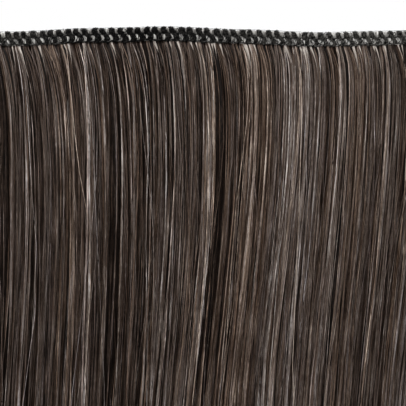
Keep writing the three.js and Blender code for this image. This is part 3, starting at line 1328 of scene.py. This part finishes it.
@dataclass(frozen=True)
class HairFlow:
    """The locks of the fall of hair, and how they lean, sway and drape.

    Attributes:
        length, tip_spread: The longest lock's length, and how much shorter the shortest is.
        golden_share: The share of a turn by which one lock's draw follows another's.
        tip_stray: How far the tips stray aside, and between which shares of the length that grows.
        lock_pitch: The distance between locks.
        lean_slope: The slope of the lean at the roots.
        left, right, turn: The flow at either side, and the places between which it changes.
        wander_width, wander_length, wander_across: How far the hair wanders, over which depth, and the
            width over which its wandering repeats.
        drape: The soft folds of the fall.
        hang: The depths between which the folds grow.
        layer_step: How far every second lock lies in front.
        sections: The form of a lock from root to tip.
    """

    seam: Seam
    length: float = 400.0
    tip_spread: float = 34.0
    golden_share: float = 0.618034
    tip_stray: Triple = (1.9, 0.6, 1.0)
    lock_pitch: float = 6.25
    lean_slope: float = 0.34
    left: SideFlow = SideFlow(11.0, 6.0, 45.0, 190.0)
    right: SideFlow = SideFlow(5.0, 10.5, 0.0, 150.0)
    turn: Pair = (-40.0, 30.0)
    wander_width: float = 0.6
    wander_length: float = 170.0
    wander_across: float = 63.0
    drape: Wave = Wave(1.2, 78.0, 12.0)
    hang: Pair = (8.0, 130.0)
    layer_step: float = 0.3
    sections: tuple[LockSection, ...] = (
        LockSection(0.0, 3.0, 0.5, 0.75),
        LockSection(0.015, 3.3, 1.1, 1.45),
        LockSection(0.06, 3.6, 1.45, 2.2),
        LockSection(0.18, 3.75, 1.52, 2.8),
        LockSection(0.33, 3.8, 1.55, 3.1),
        LockSection(0.62, 3.8, 1.55, 3.1),
        LockSection(0.92, 3.3, 1.1, 3.1),
        LockSection(1.0, 1.2, 0.3, 3.1),
    )

    def lock_middle(self, lock: np.ndarray) -> np.ndarray:
        """The place of each lock's root along the band."""
        return self.seam.strip_middle(lock, self.lock_pitch)

    def lock_length(self, lock: np.ndarray) -> np.ndarray:
        """The length of each lock."""
        return self.length - self.tip_spread * (((lock + 1) * self.golden_share) % 1)

    def straying(self, lock: np.ndarray, down: np.ndarray) -> np.ndarray:
        """How far each lock has strayed from the flow, to either side.

        Args:
            lock: The locks' numbers.
            down: Shares of their length.

        Returns:
            The distances to the right.
        """
        aside, start, end = self.tip_stray
        side = 2 * (((lock + 1) ** 2 * self.golden_share) % 1) - 1
        return side * aside * smoothstep(down, start, end)

    def size(self, name: str, down: np.ndarray) -> np.ndarray:
        """One of the sections' sizes at shares of the length."""
        places = [section.down for section in self.sections]
        return np.interp(down, places, [getattr(section, name) for section in self.sections])

    def side(self, name: str, x: np.ndarray) -> np.ndarray:
        """One value of the flow at roots along the band, between its left and its right side."""
        share = smoothstep(x, *self.turn)
        return getattr(self.left, name) * (1 - share) + getattr(self.right, name) * share

    def leaning(self, x: np.ndarray, depth: np.ndarray) -> np.ndarray:
        """How far the hair of each root has leant to the right at a depth."""
        reach = self.side("reach", x)
        return self.lean_slope * reach * (1 - np.exp(-depth / reach))

    def hanging(self, x: np.ndarray, depth: np.ndarray) -> np.ndarray:
        """How far the hair has swayed and wandered aside.

        Args:
            x: The roots' places along the band.
            depth: Depths below the band.

        Returns:
            The distances to the right.
        """
        phase = 2 * np.pi * (depth / self.wander_length + x / self.wander_across)
        sway = self.side("sway", x) * smoothstep(depth, self.side("start", x), self.side("end", x))
        return self.wander_width * np.sin(phase) * smoothstep(depth, 0, self.wander_length) - sway

    def draping(self, x: np.ndarray, lock: np.ndarray, depth: np.ndarray) -> np.ndarray:
        """How far the hair has come forward in its soft folds.

        Args:
            x: The roots' places along the band.
            lock: The numbers of their locks.
            depth: Depths below the band.

        Returns:
            The distances out of the band.
        """
        layer = np.where(lock % 2 == 0, self.layer_step, -self.layer_step)
        fold = self.drape.height * self.drape.cosine(x) + layer
        return fold * smoothstep(depth, *self.hang)


@dataclass(frozen=True)
class LockRounding:
    """How the face or the back of a lock falls off towards its sides.

    Attributes:
        reach: Where it would come to nothing, as a share of the lock's half width.
        run: The width of the slope that leads there.
        least: The share of the lock's depth that is always kept.
    """

    reach: float
    run: float
    least: float

    def kept(self, across: np.ndarray) -> np.ndarray:
        """The share of the lock's depth at places from -1 to 1 across it."""
        return np.clip((self.reach - np.abs(across)) / self.run, self.least, 1.0)


@dataclass(frozen=True)
class HairLayer:
    """A layer of the fall of hair.

    Attributes:
        name: The piece's name.
        seed: Where its draws start.
        strands: How many strands it has.
        per_wisp: How many strands lie together in a wisp.
        radius: The thinnest and the thickest strand's radius.
        depth: How deep it lies in the locks, from -1 at the back to 1 at the face.
        tones: The shares of dark, middle, light and bright wisps.
        stray: How far the wisps stray from the flow.
        crossing: The share of the wisps that lie across the others, towards the middle of the band.
    """

    name: str
    seed: int
    strands: int
    per_wisp: int
    radius: Pair
    depth: Pair
    tones: tuple[float, float, float, float]
    stray: float = 1.0
    crossing: float = 0.0


@dataclass
class HairFall(Dressed):
    """The loose hair: wisps of a few strands that leave the seam in stitch bundles and hang in locks.

    Attributes:
        layers: The layers from the back to the face.
        ring_depths, ring_shift: The depths of a strand's rings, and how much a wisp's rings are shifted.
        sides, tip_taper: A strand's sides, and its tip's share of its radius.
        root_inset: How far the roots stay from the band's ends, both together.
        bundle_pull, bundle_reach: How much a stitch pulls its roots together, and down to which depth.
        lean, lean_limits, lean_stray: The lean's share for the bundles, its limits, and the wisps' own.
        drift, wave, wave_length: How the wisps drift aside with depth and wave.
        bulge, bulge_at: How far wisps bulge out of the face, and at which depth most.
        wisp_width, wisp_spread, wisp_depth: A wisp's width, how it opens downwards, and its depth's share.
        twist, own_stray: How a strand winds in its wisp, and how far it strays.
        freed_by: The depth by which the wisps hang freely.
        full_at: The share of the length at which a lock has its full width.
        face_round, back_round: The roundings of a lock's face and back.
        shorter_by: How much shorter the strands are than their lock, on average and at most.
        tip_loose, tip_from: How far the tips spread, and from which share of the length.
        crossing_slope: The slopes of the wisps that lie across.
        tone_bands, tone_middle, strand_tone, brightest: The dark to bright tones, their middle, the strands'
            own differences, and the limit.
        tone_wave, tone_spread, spread_wave: How the tones and their spread change along the band.
        strip_width, strip_seed, strip_tone, strip_contrast: The strips of roots that share a tone.
        golden_strip, golden_part, golden_hold: The golden strips' width, their share, and how pure they are.
        golden_shift: Where golden tones lie on the map.
    """

    seam: Seam
    flow: HairFlow
    node: Node = Node.CURTAIN
    layers: tuple[HairLayer, ...] = (
        HairLayer("hair_back_layer", 21, 2400, 4, (0.07, 0.11), (-1.0, -0.4), (0.3, 0.5, 0.17, 0.03)),
        # The inner layer has the most dark wisps: painted shade, seen in the gaps between the wisps in front
        # of it.
        HairLayer("hair_inner_layer", 22, 900, 4, (0.07, 0.11), (0.0, 0.5), (0.5, 0.42, 0.08, 0.0)),
        HairLayer("hair_middle_layer", 23, 2300, 4, (0.06, 0.09), (0.3, 0.8), (0.36, 0.42, 0.17, 0.05)),
        HairLayer("hair_face_layer", 24, 2400, 4, (0.055, 0.085), (0.6, 1.0), (0.25, 0.42, 0.25, 0.08)),
        HairLayer("hair_flyaways", 25, 240, 1, (0.05, 0.07), (1.05, 1.5), (0.2, 0.4, 0.3, 0.1), 4.0, 0.015),
    )
    ring_depths: tuple[float, ...] = (
        -1.0, 0.8, 2.6, 5.5, 10.0, 17.0, 27.0, 40.0, 56.0, 76.0, 104.0, 150.0, 240.0, 400.0,
    )
    ring_shift: float = 0.12
    sides: int = 3
    tip_taper: float = 0.35
    root_inset: float = 1.0
    bundle_pull: float = 0.36
    bundle_reach: float = 5.5
    lean: Pair = (1.05, 0.28)
    lean_limits: Pair = (0.4, 1.6)
    lean_stray: float = 0.1
    drift: float = 0.007
    wave: Pair = (0.1, 0.5)
    wave_length: Pair = (70.0, 190.0)
    bulge: float = 0.45
    bulge_at: float = 6.0
    wisp_width: Pair = (0.02, 0.07)
    wisp_spread: Pair = (0.6, 0.8)
    wisp_depth: float = 0.6
    twist: float = 0.02
    own_stray: float = 0.08
    freed_by: float = 60.0
    full_at: float = 0.3
    face_round: LockRounding = LockRounding(1.15, 0.6, 0.5)
    back_round: LockRounding = LockRounding(1.1, 1.0, 0.3)
    shorter_by: Pair = (13.0, 80.0)
    tip_loose: float = 1.0
    tip_from: float = 0.72
    crossing_slope: Pair = (0.08, 0.16)
    tone_bands: tuple[Pair, ...] = ((0.02, 0.24), (0.26, 0.57), (0.53, 0.72), (0.76, 0.9))
    tone_middle: float = 0.42
    strand_tone: float = 0.003
    brightest: float = 0.93
    tone_wave: Wave = Wave(0.09, 125.0, 33.0)
    tone_spread: float = 1.06
    spread_wave: Wave = Wave(0.36, 125.0, -14.0)
    strip_width: float = 1.5
    strip_seed: int = 20
    strip_tone: float = 0.08
    strip_contrast: float = 0.28
    golden_strip: float = 3.4
    golden_part: float = 0.3
    golden_hold: float = 0.8
    golden_shift: float = 0.475
    slot: ClassVar[Slot] = Slot.HAIR

    def build(self, layer: HairLayer) -> Piece:
        """Makes one layer.

        Args:
            layer: The layer.

        Returns:
            Its strands as one joined mesh of thin closed tubes.
        """
        rng = np.random.default_rng(layer.seed)
        wisps = self._wisps(rng, layer)
        strand = {name: np.repeat(values, layer.per_wisp)[:, None] for name, values in wisps.items()}
        count = len(strand["root"])
        lock_length = self.flow.lock_length(strand["lock"])
        mean, most = self.shorter_by
        length = lock_length - rng.exponential(mean, (count, 1)).clip(0, most)
        rings = np.array(self.ring_depths)
        scale = np.where(rings > 0, length / self.flow.length, 1.0)
        inner = np.where((rings > 1) & (rings < rings[-1]), strand["shift"], 1.0)
        depth = rings * scale * inner
        paths = self._paths(rng, strand, depth, np.clip(depth / lock_length, 0, 1))
        radii = rng.uniform(*layer.radius, (count, 1)) * np.ones_like(rings)
        radii[:, -1] *= self.tip_taper
        tone = strand["tone"][:, 0] + rng.normal(0, self.strand_tone, count)
        tone = np.clip(tone, 0.0, self.brightest) / MAP_PARTS + self.golden_shift * strand["golden"][:, 0]
        along = np.clip(depth / self.flow.length, 0, 1)
        return Tubes(paths, radii, tone, along, self.sides, Direction.ALONG_BAND).build(layer.name)

    def _wisps(self, rng: np.random.Generator, layer: HairLayer) -> dict[str, np.ndarray]:
        """Draws the wisps of a layer.

        Args:
            rng: The layer's draws.
            layer: The layer.

        Returns:
            The values of each wisp by their names.
        """
        seam = self.seam
        count = layer.strands // layer.per_wisp
        root = (np.arange(count) + rng.uniform(0, 1, count)) / count - 0.5
        root = root * (seam.width - self.root_inset)
        bundle = seam.strip_of(root, seam.pitch)
        bundle_lean = np.clip(rng.normal(*self.lean, seam.strips(seam.pitch)), *self.lean_limits)
        lean = bundle_lean[bundle] + rng.normal(0, self.lean_stray, count)
        crosses = rng.uniform(size=count) < layer.crossing
        inwards = -np.sign(root) * rng.uniform(*self.crossing_slope, count)
        return {
            "root": root,
            "lock": seam.strip_of(root, self.flow.lock_pitch),
            "pull": (seam.strip_middle(bundle, seam.pitch) - root) * self.bundle_pull,
            "lean": lean,
            "tone": self._wisp_tones(rng, layer, root),
            "depth": rng.uniform(*layer.depth, count),
            "drift": np.where(crosses, inwards, rng.normal(0, self.drift, count) * layer.stray),
            "wave": rng.uniform(*self.wave, count) * layer.stray,
            "wave_length": rng.uniform(*self.wave_length, count),
            "phase": rng.uniform(0, 2 * np.pi, count),
            "bulge": np.abs(rng.normal(0, self.bulge, count)),
            "width": rng.uniform(*self.wisp_width, count) * layer.per_wisp,
            "shift": 1 + rng.uniform(-self.ring_shift, self.ring_shift, count),
            "tip": rng.normal(0, self.tip_loose, count),
            "golden": self._golden(rng, root),
        }

    def _wisp_tones(self, rng: np.random.Generator, layer: HairLayer, x: np.ndarray) -> np.ndarray:
        """Draws a tone for each wisp, a little lighter and darker in turn along the band.

        Args:
            rng: The layer's draws.
            layer: The layer.
            x: The wisps' roots.

        Returns:
            The tones.
        """
        band = rng.choice(len(self.tone_bands), len(x), p=layer.tones)
        low, high = np.array(self.tone_bands)[band].T
        apart = rng.uniform(low, high) - self.tone_middle + self._strip_tones(x)
        spread = self.tone_spread + self.spread_wave.swell(x)
        return self.tone_middle + apart * spread + self.tone_wave.swell(x)

    def _strip_tones(self, x: np.ndarray) -> np.ndarray:
        """Gives narrow strips of roots a tone, the same in every layer and unlike that of their neighbours.

        Args:
            x: Roots along the band.

        Returns:
            The tone of each root's strip.
        """
        strips = self.seam.strips(self.strip_width)
        drawn = np.random.default_rng(self.strip_seed).normal(0, self.strip_tone, strips)
        unlike = drawn - self.strip_contrast * (np.roll(drawn, 1) + np.roll(drawn, -1))
        return unlike[self.seam.strip_of(x, self.strip_width)]

    def _golden(self, rng: np.random.Generator, x: np.ndarray) -> np.ndarray:
        """Says for each root whether its wisp is golden, as most are in strips that all layers share.

        Args:
            rng: The layer's draws.
            x: The wisps' roots.

        Returns:
            True for the golden ones.
        """
        strips = self.seam.strips(self.golden_strip)
        drawn = np.random.default_rng(self.strip_seed + 1).uniform(0, 1, strips) < self.golden_part
        held = drawn[self.seam.strip_of(x, self.golden_strip)]
        return np.where(rng.uniform(size=len(x)) < self.golden_hold, held, ~held)

    def _paths(
        self, rng: np.random.Generator, strand: dict[str, np.ndarray], depth: np.ndarray, down: np.ndarray
    ) -> np.ndarray:
        """Lays the strands down their locks.

        Args:
            rng: The layer's draws.
            strand: Each strand's values from its wisp, as columns.
            depth: The depth below the band at each ring.
            down: The same as a share of the lock's length.

        Returns:
            The points, of shape (strands, rings, 3).
        """
        flow = self.flow
        count, rings = depth.shape
        below = np.maximum(depth, 0.0)
        root, lock = strand["root"], strand["lock"]
        lock_x = flow.lock_middle(lock)
        across = (root - lock_x) / (flow.lock_pitch / 2)
        half_width = flow.size("half_width", down)
        slim = half_width / flow.size("half_width", np.array(self.full_at))
        free = smoothstep(depth, 0.0, self.freed_by) * slim
        waving = np.sin(2 * np.pi * below / strand["wave_length"] + strand["phase"])
        stray = strand["drift"] * below + strand["wave"] * waving
        angle = rng.uniform(0, 2 * np.pi, (count, 1)) + below * rng.normal(0, self.twist, (count, 1))
        closed, opened = self.wisp_spread
        reach = strand["width"] * np.sqrt(rng.uniform(0, 1, (count, 1))) * (closed + opened * free)
        own = rng.normal(0, self.own_stray, (count, rings)) * free
        x = (
            lock_x
            + across * half_width
            + strand["pull"] * np.exp(-below / self.bundle_reach)
            + strand["lean"] * flow.leaning(root, below)
            + flow.hanging(root, below)
            + flow.straying(lock, down)
            + strand["tip"] * smoothstep(down, self.tip_from, 1.0)
            + stray * free
            + reach * np.cos(angle)
            + own
        )
        at_face = strand["depth"] > 0
        kept = np.where(at_face, self.face_round.kept(across), self.back_round.kept(across))
        bulging = below / self.bulge_at * np.exp(1 - below / self.bulge_at)
        out = (
            flow.size("forward", down)
            + flow.draping(root, lock, below)
            + strand["depth"] * flow.size("half_depth", down) * kept
            + self.wisp_depth * reach * np.sin(angle)
            + strand["bulge"] * at_face * bulging
        )
        return np.stack([x, -out, self.seam.hair_top(root) - depth], axis=2)


@dataclass
class LockCores(Dressed):
    """The dense middle of every lock: a flat strand that lets no light through, in the darkest hair tones as
    painted shade of the lock's depths between the wisps.

    Attributes:
        rings, ring_bunching: The number of rings, and how they bunch towards the root.
        sides, half_width, flatness: The form of a core's section.
        set_back, raised: How far it lies behind the lock's middle, and starts above the band's lower edge.
        thin_from, lowest: The shares of the lock's length from which it thins and at which it ends.
        end_share: The share of its width at the end.
        tones, tone_width: Its tones, the darkest, as painted shade, and how much of the map it takes up.
    """

    seam: Seam
    flow: HairFlow
    node: Node = Node.CURTAIN
    name: str = "hair_lock_cores"
    seed: int = 27
    rings: int = 30
    ring_bunching: float = 1.6
    sides: int = 8
    half_width: float = 3.4
    flatness: float = 0.05
    set_back: float = 0.1
    raised: float = 1.9
    thin_from: float = 0.6
    lowest: float = 0.94
    end_share: float = 0.03
    # The darkest tones: painted shade of the lock's depths.
    tones: Pair = (0.0, 0.01)
    tone_width: float = 0.035
    slot: ClassVar[Slot] = Slot.HAIR

    def build(self) -> Piece:
        """Makes the cores, which taper to a point above the tips of the strands.

        Returns:
            The cores as one joined mesh.
        """
        rng = np.random.default_rng(self.seed)
        flow = self.flow
        lock = np.arange(self.seam.strips(flow.lock_pitch))[:, None]
        root = flow.lock_middle(lock)
        down = self.lowest * np.linspace(0, 1, self.rings)[None] ** self.ring_bunching
        depth = down * flow.lock_length(lock)
        x = root + flow.leaning(root, depth) + flow.hanging(root, depth) + flow.straying(lock, down)
        out = flow.size("forward", down) + flow.draping(root, lock, depth) - self.set_back
        z = self.seam.hair_top(root) + self.raised - depth
        paths = np.stack(np.broadcast_arrays(x, -out, z), axis=2)
        thinning = 1 - (1 - self.end_share) * smoothstep(down, self.thin_from, self.lowest)
        radii = np.repeat(self.half_width * thinning, len(lock), axis=0)
        along = depth / flow.length
        tone = rng.uniform(*self.tones, len(lock))
        cores = Tubes(
            paths, radii, tone, along, self.sides, Direction.ALONG_BAND, self.tone_width, self.flatness
        )
        return cores.build(self.name)


@dataclass
class RootWisps(Dressed):
    """Pale wisps that come out between the stitches and lie tapering over the roots of the hair, coloured as
    painted highlights where the hair bends out of the seam.

    Attributes:
        wisps, per_wisp: The number of wisps, and of strands in each.
        length, own_length, side_shorter: A wisp's length, how its strands differ, and how much shorter
            each is than the one next to it on the way to the middle.
        spacing, gather: The distance between strands, and how much they gather towards the tip.
        lean, lean_limits: The lean's share, and its limits.
        start: The depth at which they start.
        arch: How far they arch out of the hair.
        radius, taper: A strand's radius, and how much of it is lost at the tip.
        rings, sides, tone: A strand's rings and sides, and the part of the map with the painted highlight
            colours.
    """

    seam: Seam
    flow: HairFlow
    node: Node = Node.CURTAIN
    name: str = "hair_root_highlight_wisps"
    seed: int = 26
    wisps: int = 68
    per_wisp: int = 5
    length: Pair = (3.0, 11.0)
    own_length: Pair = (0.8, 1.1)
    side_shorter: float = 0.28
    spacing: Pair = (0.06, 0.17)
    gather: float = 0.6
    lean: Pair = (1.05, 0.25)
    lean_limits: Pair = (0.5, 1.6)
    start: float = -0.7
    arch: float = 0.35
    radius: Pair = (0.06, 0.1)
    taper: float = 0.75
    rings: int = 7
    sides: int = 3
    tone: Pair = (0.956, 0.996)
    slot: ClassVar[Slot] = Slot.HAIR

    def build(self) -> Piece:
        """Makes the wisps, with the longest strand in the middle of each.

        Returns:
            The wisps as one joined mesh.
        """
        rng = np.random.default_rng(self.seed)
        seam, flow = self.seam, self.flow
        shape = (self.wisps, 1, 1)
        root = rng.uniform(-0.5, 0.5, shape) * (seam.width - 2 * seam.pitch)
        lean = np.clip(rng.normal(*self.lean, shape), *self.lean_limits)
        length = rng.uniform(*self.length, shape)
        spacing = rng.uniform(*self.spacing, shape)
        place = (np.arange(self.per_wisp) - (self.per_wisp - 1) / 2)[None, :, None]
        share = np.linspace(0, 1, self.rings)[None, None, :]
        own = rng.uniform(*self.own_length, (self.wisps, self.per_wisp, 1))
        reach = length * (1 - self.side_shorter * np.abs(place)) * own
        depth = self.start + (reach - self.start) * share
        below = np.maximum(depth, 0.0)
        down = below / flow.length
        x = root + place * spacing * (1 - self.gather * share) + lean * flow.leaning(root, below)
        arching = self.arch * np.sin(np.pi * share)
        out = flow.size("forward", down) + flow.size("half_depth", down) + arching
        z = seam.hair_top(root) - depth
        count = self.wisps * self.per_wisp
        paths = np.stack(np.broadcast_arrays(x, -out, z), axis=3).reshape(count, self.rings, 3)
        radii = rng.uniform(*self.radius, (count, 1)) * (1 - self.taper * share[0])
        along = np.repeat(share[0], count, axis=0)
        tone = np.repeat(rng.uniform(*self.tone, self.wisps), self.per_wisp)
        return Tubes(paths, radii, tone, along, self.sides, Direction.ALONG_BAND).build(self.name)


@dataclass(frozen=True)
class SoftLight:
    """A soft light: its name, its place and size in metres, and its power in watts."""

    name: str
    place: Triple
    size: Pair
    power: float


@dataclass
class Studio:
    """The floor, the soft lights, the white surround and the camera.

    Attributes:
        view_width, view_middle: The width of the view, and its middle along the band and upwards.
        face_out: The distance of the hair's face from the band's back, at which the view has that width.
        lens, sensor: The camera's focal length and the width of its sensor.
        floor_drop, floor_size: How far the floor lies below the tips, and its size.
        ambient: How much light the surround gives.
        lights: The soft lights.
    """

    view_width: float = 116.3
    view_middle: Pair = (0.0, -47.7)
    face_out: float = 3.0
    lens: float = 150.0
    sensor: float = 36.0
    floor_drop: float = 30.0
    floor_size: float = 40000.0
    ambient: float = 0.06
    lights: tuple[SoftLight, ...] = (
        SoftLight("key", (-0.16, -0.42, 0.42), (0.5, 0.34), 8.0),
        SoftLight("front_fill", (0.35, -1.3, 0.2), (1.2, 0.7), 2.7),
        SoftLight("back_fill", (0.3, 1.0, 0.7), (1.0, 0.8), 13.0),
    )

    def build(self, lowest: float) -> None:
        """Sets up the floor, the lights and the camera.

        Args:
            lowest: The height of the lowest tip in metres.
        """
        self._floor(lowest)
        self._surround()
        for light in self.lights:
            self._light(light)
        self._camera()
        bpy.context.scene.view_settings.view_transform = "Standard"

    def _floor(self, lowest: float) -> None:
        """Lays a wide, flat floor.

        Args:
            lowest: The height of the lowest tip in metres.
        """
        bpy.ops.object.select_all(action="DESELECT")
        place = (0.0, 0.0, lowest - self.floor_drop * MM)
        bpy.ops.mesh.primitive_plane_add(size=self.floor_size * MM, location=place)
        floor = bpy.context.active_object
        floor.name = "floor"
        bpy.ops.object.transform_apply(location=True, rotation=False, scale=True)
        floor.data.materials.append(FloorFinish().material())
        floor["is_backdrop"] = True

    def _surround(self) -> None:
        """Gives a white surround to look at and a dim one to light with."""
        world = bpy.data.worlds.new("white_surround")
        world.use_nodes = True
        bpy.context.scene.world = world
        tree = world.node_tree
        seen = tree.nodes["Background"]
        lit = tree.nodes.new("ShaderNodeBackground")
        for background, strength in ((seen, 1.0), (lit, self.ambient)):
            background.inputs["Color"].default_value = (1.0, 1.0, 1.0, 1.0)
            background.inputs["Strength"].default_value = strength
        rays = tree.nodes.new("ShaderNodeLightPath")
        both = tree.nodes.new("ShaderNodeMixShader")
        tree.links.new(rays.outputs["Is Camera Ray"], both.inputs["Fac"])
        tree.links.new(lit.outputs[0], both.inputs[1])
        tree.links.new(seen.outputs[0], both.inputs[2])
        tree.links.new(both.outputs[0], tree.nodes["World Output"].inputs["Surface"])

    def _light(self, soft: SoftLight) -> None:
        """Adds a soft light that faces the upper part of the hair.

        Args:
            soft: The light.
        """
        data = bpy.data.lights.new(soft.name, "AREA")
        data.shape = "RECTANGLE"
        data.size, data.size_y = soft.size
        data.energy = soft.power
        light = bpy.data.objects.new(soft.name, data)
        bpy.context.scene.collection.objects.link(light)
        light.location = soft.place
        aim = Vector((0.0, 0.0, self.view_middle[1] * MM)) - Vector(soft.place)
        light.rotation_euler = aim.to_track_quat("-Z", "Y").to_euler()

    def _camera(self) -> None:
        """Sets the camera straight in front of the hair, as wide as the view."""
        data = bpy.data.cameras.new("camera")
        data.lens = self.lens
        data.sensor_width = self.sensor
        camera = bpy.data.objects.new("camera", data)
        bpy.context.scene.collection.objects.link(camera)
        away = self.view_width * self.lens / self.sensor + self.face_out
        x, z = self.view_middle
        camera.location = (x * MM, -away * MM, z * MM)
        camera.rotation_euler = (math.pi / 2, 0.0, 0.0)
        bpy.context.scene.camera = camera


# The upper stitches come out of the middle of the face and go over the top edge to the back.
EDGE_BENDS = (
    Bend(1.2, 0.0, 0.42, 0.4),
    Bend(1.95, 0.55, 0.26, 0.48),
    Bend(2.16, 1.2, 0.04, 0.54),
    Bend(1.78, 1.78, -0.06, 0.55),
    Bend(0.8, 2.05, -0.08, 0.5),
    Bend(0.12, 1.75, -0.06, 0.42),
    Bend(0.08, 0.9, 0.0, 0.4),
    Bend(0.35, -0.1, 0.1, 0.3),
)

# The lower stitches run slanting down the face and turn back along the lower edge.
CHAIN_BENDS = (
    Bend(1.3, 0.6, -0.95, 0.4),
    Bend(1.95, 0.3, -0.5, 0.5),
    Bend(2.15, -0.3, 0.0, 0.54),
    Bend(2.05, -0.95, 0.26, 0.56),
    Bend(1.85, -1.45, 0.1, 0.5),
    Bend(1.6, -1.68, -0.45, 0.46),
    Bend(1.3, -1.72, -0.95, 0.36),
)

# The stitches on the back are short and lie flat.
BACK_BENDS = (
    Bend(0.4, 0.3, -0.5, 0.3),
    Bend(0.08, -0.2, -0.25, 0.42),
    Bend(0.06, -0.8, 0.05, 0.46),
    Bend(0.1, -1.4, 0.3, 0.42),
    Bend(0.5, -1.8, 0.45, 0.3),
)


def sewn_parts(seam: Seam) -> Sequence[StitchRow | LooseLoops | RunningThread]:
    """Lists what is sewn with the black thread.

    Args:
        seam: The seam.

    Returns:
        The rows of stitches, the slack loops and the running threads, in order.
    """
    return (
        StitchRow(seam, "edge_loops", Node.EDGE, 0.0, 31, EDGE_BENDS, yarn_radius=0.45, slackness=0.5),
        StitchRow(seam, "chain_loops", Node.CHAIN, 0.5, 32, CHAIN_BENDS),
        StitchRow(
            seam, "back_loops", Node.CHAIN, 0.5, 34, BACK_BENDS, yarns=(-0.6, 0.6), yarn_radius=0.3, points=8
        ),
        LooseLoops(seam),
        RunningThread(seam, "middle_thread", Node.EDGE, out=1.6, up=0.32, radius=0.22, ripple=-0.18),
        RunningThread(seam, "top_thread", Node.EDGE, out=1.15, up=2.18, radius=0.07, ripple=0.03),
        RunningThread(
            seam, "closing_thread", Node.BINDING, out=1.66, up=-1.74, radius=0.18, ripple=-0.14, wander=0.15
        ),
    )


def main() -> None:
    """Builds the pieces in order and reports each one."""
    logging.basicConfig(level=logging.INFO, format="%(name)s: %(message)s")
    seam = Seam()
    band = PressedBand(seam)
    band.dress(band.build_core(), CoreFinish().material())
    band.dress(band.build_folds(), FoldFinish().material())
    thread = ThreadFinish(seam).material()
    for sewn in sewn_parts(seam):
        sewn.dress(sewn.build(), thread)
    flow = HairFlow(seam)
    fall = HairFall(seam, flow)
    hair = HairFinish().material()
    for layer in fall.layers:
        fall.dress(fall.build(layer), hair)
    for filling in (LockCores(seam, flow), RootWisps(seam, flow)):
        filling.dress(filling.build(), hair)
    low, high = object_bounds()
    Studio().build(low.z)


if __name__ == "__main__":
    main()
